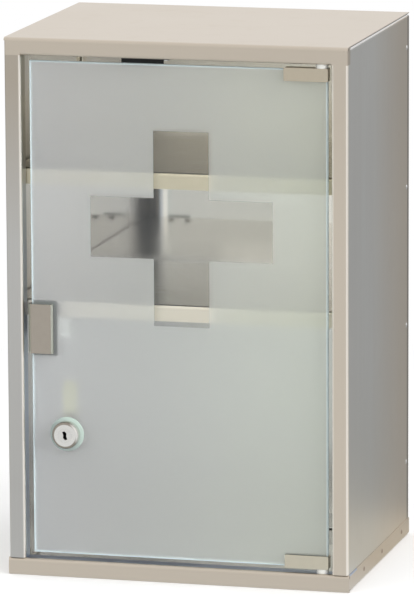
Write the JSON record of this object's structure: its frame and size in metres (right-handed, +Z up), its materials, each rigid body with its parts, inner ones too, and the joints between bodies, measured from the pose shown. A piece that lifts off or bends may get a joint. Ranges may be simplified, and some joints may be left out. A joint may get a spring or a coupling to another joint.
{
  "type": "wall-mounted medicine cabinet",
  "caption": "Small wall cabinet of folded steel sheet with shelves and a frosted glass door that swings on pivot hinges, held by a magnetic catch and a cam lock.",
  "frame": {"origin": "centre of the cabinet's underside, on the bottom face of the pan", "axes": "+X to the right as one faces the door, +Y towards the wall, +Z up"},
  "size_m": [0.3014, 0.233, 0.465],
  "materials": {
    "steel": "brushed stainless steel sheet",
    "aluminium": "plain rivets",
    "white_plastic": "white moulded plastic",
    "magnet": "dark ferrite",
    "plated_steel": "bright nickel plating",
    "rubber": "black rubber",
    "frosted_glass": "satin frosted, clear in the cross",
    "black_plastic": "thin black pads",
    "black_steel": "blackened steel screws",
    "green_plastic": "pale green translucent ring",
    "cam_steel": "yellow passivated steel"
  },
  "bodies": {
    "cabinet": {"left_side": "steel", "right_side": "steel", "top_panel": "steel", "bottom_pan": "steel", "back_panel": "steel", "upper_shelf": "steel", "lower_shelf": "steel", "left_pan_rivets": "aluminium", "right_pan_rivets": "aluminium", "left_back_rivets": "aluminium", "right_back_rivets": "aluminium", "top_bush": "white_plastic", "bottom_bush": "white_plastic", "catch_body": "white_plastic", "catch_magnet": "magnet", "catch_poles": "plated_steel", "catch_screws": "plated_steel", "door_stop": "rubber", "stop_rivet": "aluminium"},
    "door": {"glass_door": "frosted_glass", "top_clip": "plated_steel", "bottom_clip": "plated_steel", "top_clip_pad": "black_plastic", "bottom_clip_pad": "black_plastic", "top_clip_screws": "black_steel", "bottom_clip_screws": "black_steel", "top_pivot_pin": "plated_steel", "bottom_pivot_pin": "plated_steel", "strike_clip": "steel", "strike_pad": "black_plastic", "strike_screw": "black_steel", "lock_body": "plated_steel", "lock_gasket": "green_plastic", "lock_washer": "rubber", "lock_nut": "plated_steel"},
    "lock_turning": {"lock_plug": "plated_steel", "lock_cam": "cam_steel", "cam_screw": "black_steel"}
  },
  "joints": [
    {"name": "door_swing", "type": "hinge", "parent": "cabinet", "child": "door", "pos_m": [0.1255, -0.1075, 0.2325], "axis": [0, 0, 1], "range_deg": [0, 110]},
    {"name": "lock_turn", "type": "hinge", "parent": "door", "child": "lock_turning", "pos_m": [-0.098, -0.11, 0.1245], "axis": [0, -1, 0], "range_deg": [0, 90]}
  ]
}
